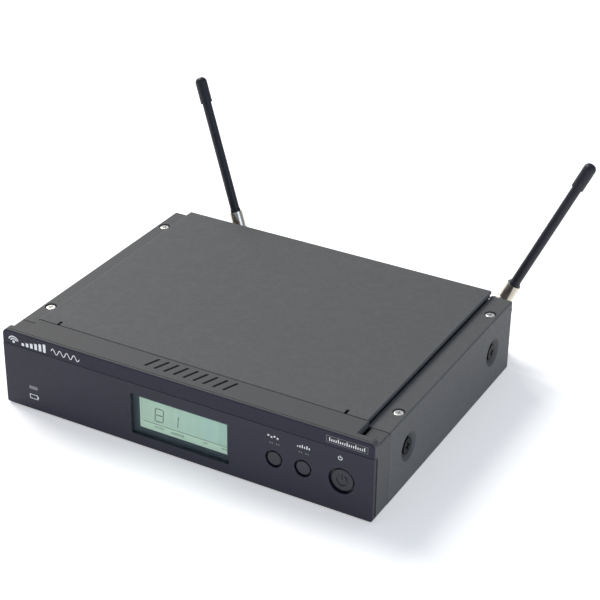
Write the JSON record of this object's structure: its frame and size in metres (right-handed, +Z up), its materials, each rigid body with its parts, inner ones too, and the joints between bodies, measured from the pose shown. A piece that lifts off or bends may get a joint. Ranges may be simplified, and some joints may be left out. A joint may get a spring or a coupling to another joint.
{
  "type": "wireless receiver unit",
  "caption": "Half-rack wireless microphone receiver: low grey metal box, moulded front with small display and push buttons, rear sockets and leaning whip antennas.",
  "frame": {"origin": "centre of the chassis underside", "axes": "+Z up, +X right as seen from the front, the front faces -Y"},
  "size_m": [0.2252, 0.1803, 0.1071],
  "materials": {
    "bezel_plastic": "fine spark-eroded texture, dark olive grey",
    "fascia_plastic": "smooth satin, blue-black",
    "window_clear": "clear acrylic",
    "lcd_face": "pale green reflective display",
    "lamp_lens": "smoky lamp lens, unlit",
    "button_plastic": "satin black",
    "steel_painted": "dark grey powder coat",
    "nickel": "nickel plated",
    "black_steel": "black oxide",
    "socket_plastic": "black moulded nylon",
    "antenna_black": "satin black sleeve",
    "gold": "gold flash",
    "insulator_white": "white dielectric",
    "board_green": "green solder mask",
    "shield_tin": "tin plated",
    "aluminium": "plain extruded",
    "black_part": "moulded component black",
    "ribbon_grey": "flat cable sleeve",
    "coax_black": "thin cable sheath",
    "light_guide": "milky light guide"
  },
  "bodies": {
    "receiver": {"antenna_jack_contacts": "gold", "antenna_jack_insulators": "insulator_white", "antenna_jack_nuts": "nickel", "antenna_mount_screws": "black_steel", "bezel_screws": "nickel", "board_standoffs": "nickel", "button_switches": "shield_tin", "chassis_base": "steel_painted", "control_chips": "black_part", "cord_hook": "socket_plastic", "display_window": "window_clear", "filter_capacitors": "black_part", "front_bezel": "bezel_plastic", "front_board_screws": "nickel", "front_circuit_board": "board_green", "front_fascia": "fascia_plastic", "heat_sink": "aluminium", "lcd_backlight": "light_guide", "lcd_panel": "lcd_face", "led_lens": "lamp_lens", "ledge_screws": "nickel", "left_antenna_jack": "nickel", "left_antenna_mount": "socket_plastic", "left_coax_lead": "coax_black", "main_board_screws": "nickel", "main_circuit_board": "board_green", "output_jack": "socket_plastic", "output_jack_nut": "nickel", "power_jack": "socket_plastic", "power_jack_pin": "nickel", "rack_ear_nuts": "nickel", "rack_ear_screws": "black_steel", "rear_panel": "steel_painted", "ribbon_cable": "ribbon_grey", "right_antenna_jack": "nickel", "right_antenna_mount": "socket_plastic", "right_coax_lead": "coax_black", "status_led": "insulator_white", "top_cover": "steel_painted", "tuner_shields": "shield_tin", "xlr_pins": "gold", "xlr_screws": "black_steel", "xlr_shell": "socket_plastic"},
    "group_button_body": {"group_button": "button_plastic", "group_switch_plunger": "black_part"},
    "channel_button_body": {"channel_button": "button_plastic", "channel_switch_plunger": "black_part"},
    "power_button_body": {"power_button": "button_plastic", "power_switch_plunger": "black_part"},
    "left_antenna": {"left_antenna_plug": "nickel", "left_antenna_pin": "gold", "left_antenna_whip": "antenna_black", "left_antenna_cap": "antenna_black"},
    "left_ring": {"left_coupling_ring": "nickel"},
    "right_antenna": {"right_antenna_plug": "nickel", "right_antenna_pin": "gold", "right_antenna_whip": "antenna_black", "right_antenna_cap": "antenna_black"},
    "right_ring": {"right_coupling_ring": "nickel"}
  },
  "joints": [
    {"name": "group_press", "type": "slide", "parent": "receiver", "child": "group_button_body", "axis": [0, 1, 0], "range_m": [0, 0.0008], "stiffness_N_per_m": 900, "springref_m": -0.0012},
    {"name": "channel_press", "type": "slide", "parent": "receiver", "child": "channel_button_body", "axis": [0, 1, 0], "range_m": [0, 0.0008], "stiffness_N_per_m": 900, "springref_m": -0.0012},
    {"name": "power_press", "type": "slide", "parent": "receiver", "child": "power_button_body", "axis": [0, 1, 0], "range_m": [0, 0.0008], "stiffness_N_per_m": 900, "springref_m": -0.0012},
    {"name": "left_antenna_swivel", "type": "hinge", "parent": "receiver", "child": "left_antenna", "pos_m": [-0.0571, 0.0844, 0.0135], "axis": [-0.3988, 0.1742, 0.9003], "continuous": true},
    {"name": "left_ring_turn", "type": "hinge", "parent": "receiver", "child": "left_ring", "pos_m": [-0.0571, 0.0844, 0.0135], "axis": [-0.3988, 0.1742, 0.9003], "range_deg": [0, 85]},
    {"name": "right_antenna_swivel", "type": "hinge", "parent": "receiver", "child": "right_antenna", "pos_m": [0.0815, 0.0844, 0.0135], "axis": [0.3988, 0.1742, 0.9003], "continuous": true},
    {"name": "right_ring_turn", "type": "hinge", "parent": "receiver", "child": "right_ring", "pos_m": [0.0815, 0.0844, 0.0135], "axis": [0.3988, 0.1742, 0.9003], "range_deg": [0, 85]}
  ]
}
